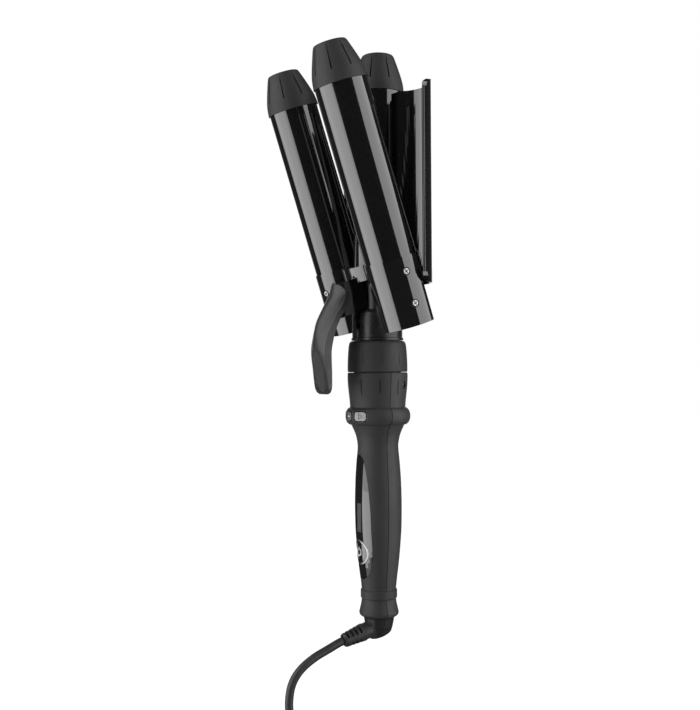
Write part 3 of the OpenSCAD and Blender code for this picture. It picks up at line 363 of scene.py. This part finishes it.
looks = {
    "soft_black": soft_touch("soft_black", (0.027, 0.027, 0.0275)),
    "soft_lever": moulded("soft_lever", (0.024, 0.024, 0.0245), 0.36),
    "soft_rear": soft_touch("soft_rear", (0.034, 0.034, 0.0345), 0.52),
    "dark_plastic": moulded("dark_plastic", (0.014, 0.014, 0.0145), 0.34),
    "gloss_black": gloss("gloss_black", (0.006, 0.006, 0.0065)),
    "barrel_coat": ceramic_coat("barrel_coat"),
    "silver_trim": metal("silver_trim", (0.3, 0.3, 0.305), 0.34),
    "key_grey": moulded("key_grey", (0.24, 0.24, 0.245), 0.38),
    "key_dark": moulded("key_dark", (0.1, 0.1, 0.105), 0.4),
    "screen": lcd("screen"),
    "board": gloss("board", (0.02, 0.12, 0.05), 0.3),
    "ivory_plastic": moulded("ivory_plastic", (0.6, 0.57, 0.5)),
    "ceramic": moulded("ceramic", (0.7, 0.64, 0.55), 0.6),
    "aluminium": metal("aluminium", (0.6, 0.6, 0.62), 0.35, (1, 1, 0.05)),
    "bright_steel": metal("bright_steel", (0.55, 0.55, 0.56), 0.25),
    "dull_steel": metal("dull_steel", (0.5, 0.5, 0.51), 0.32),
    "nickel": metal("nickel", (0.7, 0.69, 0.66), 0.2),
    "brass": metal("brass", (0.75, 0.55, 0.22), 0.25),
    "cord_rubber": cord_rubber("cord_rubber"),
    "thumb_soft": soft_touch("thumb_soft", (0.03, 0.03, 0.031), 0.62),
    "print_white": moulded("print_white", (0.62, 0.62, 0.62), 0.5),
    "print_dark": moulded("print_dark", (0.11, 0.11, 0.112), 0.5),
    "neck_black": moulded("neck_black", (0.012, 0.012, 0.0125), 0.3),
}
special = {
    "thumb_lever": "soft_lever",
    "thumb_pad": "thumb_soft",
    "jacket_screws": "dull_steel",
    "handle_rear_shell": "soft_rear",
    "head_neck": "neck_black",
}
slots = {s["node"]: s["material_slot"] for s in frame["record"]["subparts"]}


def dress(obj, look):
    obj.data.materials.clear()
    obj.data.materials.append(looks[look])


for node_name, node_object in nodes.items():
    dress(node_object, special.get(node_name, slots[node_name]))
cord.data.materials.append(looks["cord_rubber"])


# ---------- printed and engraved marks, and painted shade in the jaw screws ---
def link_mesh(name, made, look, body):
    mesh = bpy.data.meshes.new(name)
    made.to_mesh(mesh)
    made.free()
    piece = bpy.data.objects.new(name, mesh)
    bpy.context.scene.collection.objects.link(piece)
    mesh.materials.append(looks[look])
    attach(piece, body)
    return piece


def flat_mark(name, outlines, place, look, body, thickness=0.00012):
    """Closed outlines in a plane, given as (across, up) in metres, made into thin raised plates."""
    made = bmesh.new()
    for outline in outlines:
        low = [made.verts.new(place @ Vector((x, y, -thickness))) for x, y in outline]
        high = [made.verts.new(place @ Vector((x, y, thickness))) for x, y in outline]
        made.faces.new(high)
        made.faces.new(low[::-1])
        for i in range(len(outline)):
            j = (i + 1) % len(outline)
            made.faces.new((low[i], low[j], high[j], high[i]))
    bmesh.ops.recalc_face_normals(made, faces=made.faces)
    return link_mesh(name, made, look, body)


def facing(angle, radius, height):
    """A frame on the handle's side: across runs to the right seen from outside, up is +Z."""
    a = math.radians(angle)
    out = Vector((math.cos(a), math.sin(a), 0))
    across = Vector((-math.sin(a), math.cos(a), 0))
    at = out * radius + Vector((0, 0, height))
    return Matrix((
        (across.x, 0, out.x, at.x),
        (across.y, 0, out.y, at.y),
        (across.z, 1, out.z, at.z),
        (0, 0, 0, 1)))


def ring_part(r_in, r_out, a0, a1, steps=28):
    angles = [math.radians(a0 + (a1 - a0) * k / steps) for k in range(steps + 1)]
    outer = [(r_out * math.cos(a), r_out * math.sin(a)) for a in angles]
    inner = [(r_in * math.cos(a), r_in * math.sin(a)) for a in reversed(angles)]
    return outer + inner


def bar(x0, y0, x1, y1):
    return [(x0, y0), (x1, y0), (x1, y1), (x0, y1)]


KEY_FACE = 20.3 * MM
KEY_Z = 62.8 * MM
KEY_STEP = 29.5


def arrow(way):
    """A triangle drawn as a line, pointing sideways."""
    outer = [(-0.0013 * way, -0.0021), (0.0019 * way, 0), (-0.0013 * way, 0.0021)]
    inner = [(-0.0008 * way, -0.00125), (0.0011 * way, 0), (-0.0008 * way, 0.00125)]
    return [[outer[i], outer[(i + 1) % 3], inner[(i + 1) % 3], inner[i]] for i in range(3)]


flat_mark("plus_mark", arrow(1), facing(-90 + KEY_STEP, KEY_FACE, KEY_Z),
          "print_dark", "plus_key")
flat_mark("minus_mark", arrow(-1), facing(-90 - KEY_STEP, KEY_FACE, KEY_Z),
          "print_dark", "minus_key")
flat_mark("mode_mark", [bar(-0.0011, -0.0003, 0.0011, 0.0003)], facing(-90, KEY_FACE, KEY_Z),
          "print_white", "mode_key")
POWER_FACE = 13.58 * MM
POWER_Z = -22.4 * MM
power_mark = [ring_part(0.0021, 0.0026, 125, 415), bar(-0.00025, 0.0007, 0.00025, 0.0031)]
flat_mark("power_mark", power_mark, facing(-90, POWER_FACE, POWER_Z),
          "print_white", "power_button", 0.0003)


# The jaw's screws: painted shade, a dark cross in each head's slot and a dark ring on the seat round
# it
HINGE_Z = 143 * MM
JAW_OPEN = math.radians(17.7)
BARREL_AT = Vector((36 * MM, -4 * MM, 0))
BARREL_R = 16 * MM
SCREW_TURN = math.radians(20)


def at_screw(side, height, angle):
    """A frame on a screw's seat with its third axis pointing out of the jacket."""
    turn = math.radians(angle if side > 0 else 180 - angle)
    at = Vector((side * BARREL_AT.x, BARREL_AT.y, height))
    opened = Matrix.Translation((0, 0, HINGE_Z)) @ Matrix.Rotation(JAW_OPEN, 4, "X")
    aimed = Matrix.Rotation(turn, 4, "Z") @ Matrix.Rotation(math.radians(90), 4, "Y")
    return opened @ Matrix.Translation(at) @ aimed @ Matrix.Translation((0, 0, BARREL_R))


# Each screw's height on its barrel, in metres, and its angle round the barrel, in degrees
SCREWS = ((0.0087, -4.6), (-0.0108, -4.6), (0.005, -104))
# Painted shade: thin black plates laid in the screw slots and on the seats, where these recesses fall
# in shade
SLOT_SHADE_LIFT = 0.0004
SEAT_SHADE_LIFT = 0.0001
SHADE_PLATE_THICK = 0.00004
SLOT_SHADE = [bar(-0.00135, -0.0003, 0.00135, 0.0003), bar(-0.0003, -0.00135, 0.0003, 0.00135)]
SEAT_SHADE = [ring_part(0.00192, 0.00238, 0, 180), ring_part(0.00192, 0.00238, 180, 360)]
for side in (-1, 1):
    for number, (height, angle) in enumerate(SCREWS):
        place = at_screw(side, height, angle)
        tag = f"{number}_{'near' if side > 0 else 'far'}"
        slot_shade_place = Matrix.Translation((0, 0, SLOT_SHADE_LIFT)) @ Matrix.Rotation(SCREW_TURN, 4, "Z")
        seat_shade_place = Matrix.Translation((0, 0, SEAT_SHADE_LIFT))
        for kind, outlines, lift in (("slot_shade_", SLOT_SHADE, slot_shade_place), ("seat_shade_", SEAT_SHADE, seat_shade_place)):
            # Painted shade in the slot and on the seat, in the neck's black
            flat_mark("screw_" + kind + tag, outlines, place @ lift,
                      "neck_black", "jaw", SHADE_PLATE_THICK)


# ---------- floor, lights and world ----------
BACKDROP_WAY = Vector((-math.sin(CAMERA_AZIMUTH), math.cos(CAMERA_AZIMUTH), 0))
SIDE_AZIMUTH = 71
TO_CAMERA = math.atan2(-math.cos(CAMERA_AZIMUTH), math.sin(CAMERA_AZIMUTH))
LEFT_ANGLE = TO_CAMERA - math.radians(SIDE_AZIMUTH)
LEFT_WAY = Vector((math.cos(LEFT_ANGLE), math.sin(LEFT_ANGLE), 0))
FLOOR_BELOW = 0.02
FLOOR_SIZE = 12
MIRROR_WHITE = 1.0
MIRROR_DIM = 0.035
FILL = 0.16
# Cosines of the angles at which a patch of white has faded out and is full
BEHIND_FADE = (0.86, 0.97)
# The patch towards the left lamp is a painted pool of lamp light on the floor, seen only in
# reflections
LEFT_FADE = (0.84, 0.94)


def sum_of(tree, *values):
    total = values[0]
    for value in values[1:]:
        node = tree.nodes.new("ShaderNodeMath")
        node.operation = "ADD"
        tree.links.new(total, node.inputs[0])
        tree.links.new(value, node.inputs[1])
        total = node.outputs[0]
    return total


def mixed(tree, factor, first, second):
    mix = tree.nodes.new("ShaderNodeMixShader")
    tree.links.new(factor, mix.inputs["Fac"])
    tree.links.new(first, mix.inputs[1])
    tree.links.new(second, mix.inputs[2])
    return mix.outputs["Shader"]


def ramp(tree, value, low, high, at_low, at_high):
    node = tree.nodes.new("ShaderNodeMapRange")
    ends = (("From Min", low), ("From Max", high), ("To Min", at_low), ("To Max", at_high))
    for name, number in ends:
        node.inputs[name].default_value = number
    tree.links.new(value, node.inputs["Value"])
    return node.outputs["Result"]


def glow(tree, strength):
    node = tree.nodes.new("ShaderNodeEmission")
    node.inputs["Strength"].default_value = strength
    return node


def vector_step(tree, vector, operation, way=None):
    node = tree.nodes.new("ShaderNodeVectorMath")
    node.operation = operation
    if way is not None:
        node.inputs[1].default_value = way
    tree.links.new(vector, node.inputs[0])
    return node.outputs["Vector" if operation == "NORMALIZE" else "Value"]


def headed(tree, vector, way, low, high):
    """One where the vector points along a way, falling to zero beside it."""
    along = vector_step(tree, vector_step(tree, vector, "NORMALIZE"), "DOT_PRODUCT", way)
    return ramp(tree, along, low, high, 0, 1)


def product_of(tree, first, second):
    node = tree.nodes.new("ShaderNodeMath")
    node.operation = "MULTIPLY"
    tree.links.new(first, node.inputs[0])
    tree.links.new(second, node.inputs[1])
    return node.outputs[0]


def make_floor():
    """A pale floor, nearly white for the camera.

    Mirrors see it white behind the object, and dim elsewhere; towards the left lamp they see a painted
    pool of lamp light, glowing white.
    """
    floor_z = cad_bounds[0][2] - FLOOR_BELOW
    bpy.ops.mesh.primitive_plane_add(size=FLOOR_SIZE, location=(0, 0, floor_z))
    floor = bpy.context.object
    floor.name = "floor"
    material = bpy.data.materials.new("floor")
    material.use_nodes = True
    tree = material.node_tree
    tree.nodes.clear()
    out = tree.nodes.new("ShaderNodeOutputMaterial")
    place = tree.nodes.new("ShaderNodeTexCoord").outputs["Object"]
    paint = tree.nodes.new("ShaderNodeBsdfDiffuse")
    paint.inputs["Color"].default_value = (0.86, 0.86, 0.86, 1)
    white = glow(tree, 1.0)
    outward = ramp(tree, vector_step(tree, place, "LENGTH"), 0.25, 0.75, 1.02, 1.28)
    tree.links.new(outward, white.inputs["Strength"])
    share = tree.nodes.new("ShaderNodeMixShader")
    share.inputs["Fac"].default_value = 0.8
    tree.links.new(paint.outputs["BSDF"], share.inputs[1])
    tree.links.new(white.outputs["Emission"], share.inputs[2])
    path = tree.nodes.new("ShaderNodeLightPath")
    far = ramp(tree, vector_step(tree, place, "DOT_PRODUCT", BACKDROP_WAY), 0.3, 1.2, 0, 1)
    behind = product_of(tree, far, headed(tree, place, BACKDROP_WAY, *BEHIND_FADE))
    # White behind the object, plus a painted pool of the left lamp's light, for mirrors only
    bright = sum_of(tree, behind, headed(tree, place, LEFT_WAY, *LEFT_FADE))
    dim = glow(tree, MIRROR_DIM).outputs["Emission"]
    mirrored = mixed(tree, bright, dim, glow(tree, MIRROR_WHITE).outputs["Emission"])
    by_mirror = sum_of(tree, path.outputs["Is Glossy Ray"], path.outputs["Is Transmission Ray"])
    other = mixed(tree, by_mirror, paint.outputs["BSDF"], mirrored)
    surface = mixed(tree, path.outputs["Is Camera Ray"], other, share.outputs["Shader"])
    tree.links.new(surface, out.inputs["Surface"])
    floor.data.materials.append(material)


def background(tree, strength):
    node = tree.nodes.new("ShaderNodeBackground")
    node.inputs["Color"].default_value = (1, 1, 1, 1)
    node.inputs["Strength"].default_value = strength
    return node


def make_world():
    """White for the camera; mirrors and glass see white behind the object, dim walls beside it."""
    world = bpy.data.worlds.new("studio")
    bpy.context.scene.world = world
    world.use_nodes = True
    tree = world.node_tree
    tree.nodes.clear()
    out = tree.nodes.new("ShaderNodeOutputWorld")
    path = tree.nodes.new("ShaderNodeLightPath")
    way = tree.nodes.new("ShaderNodeTexCoord").outputs["Generated"]
    behind = headed(tree, way, BACKDROP_WAY, *BEHIND_FADE)
    walls = background(tree, MIRROR_DIM).outputs["Background"]
    white = background(tree, MIRROR_WHITE).outputs["Background"]
    fill = background(tree, FILL).outputs["Background"]
    mirrored = mixed(tree, behind, walls, white)
    by_mirror = sum_of(tree, path.outputs["Is Glossy Ray"], path.outputs["Is Transmission Ray"])
    other = mixed(tree, by_mirror, fill, mirrored)
    tree.links.new(mixed(tree, path.outputs["Is Camera Ray"], other, white), out.inputs["Surface"])


def softbox(name, azimuth, distance, width, height, level, middle):
    """A large upright lamp; its azimuth runs from the camera's side to the right, in degrees."""
    data = bpy.data.lights.new(name, "AREA")
    data.shape = "RECTANGLE"
    data.size = width
    data.size_y = height
    data.energy = level * math.pi * width * height
    lamp = bpy.data.objects.new(name, data)
    a = TO_CAMERA + math.radians(azimuth)
    lamp.location = (math.cos(a) * distance, math.sin(a) * distance, middle)
    inward = Vector((-math.cos(a), -math.sin(a), 0))
    lamp.rotation_euler = inward.to_track_quat("-Z", "Y").to_euler()
    bpy.context.scene.collection.objects.link(lamp)


make_floor()
make_world()
softbox("left_softbox", -SIDE_AZIMUTH, distance=0.85, width=1.13, height=1.85, level=2.25, middle=0.56)
softbox("right_softbox", SIDE_AZIMUTH, distance=0.85, width=0.96, height=1.85, level=2.4, middle=0.56)
softbox("back_softbox", 180, distance=2.6, width=1.6, height=1.6, level=0.8, middle=1.2)

bpy.context.scene.view_settings.view_transform = "Standard"
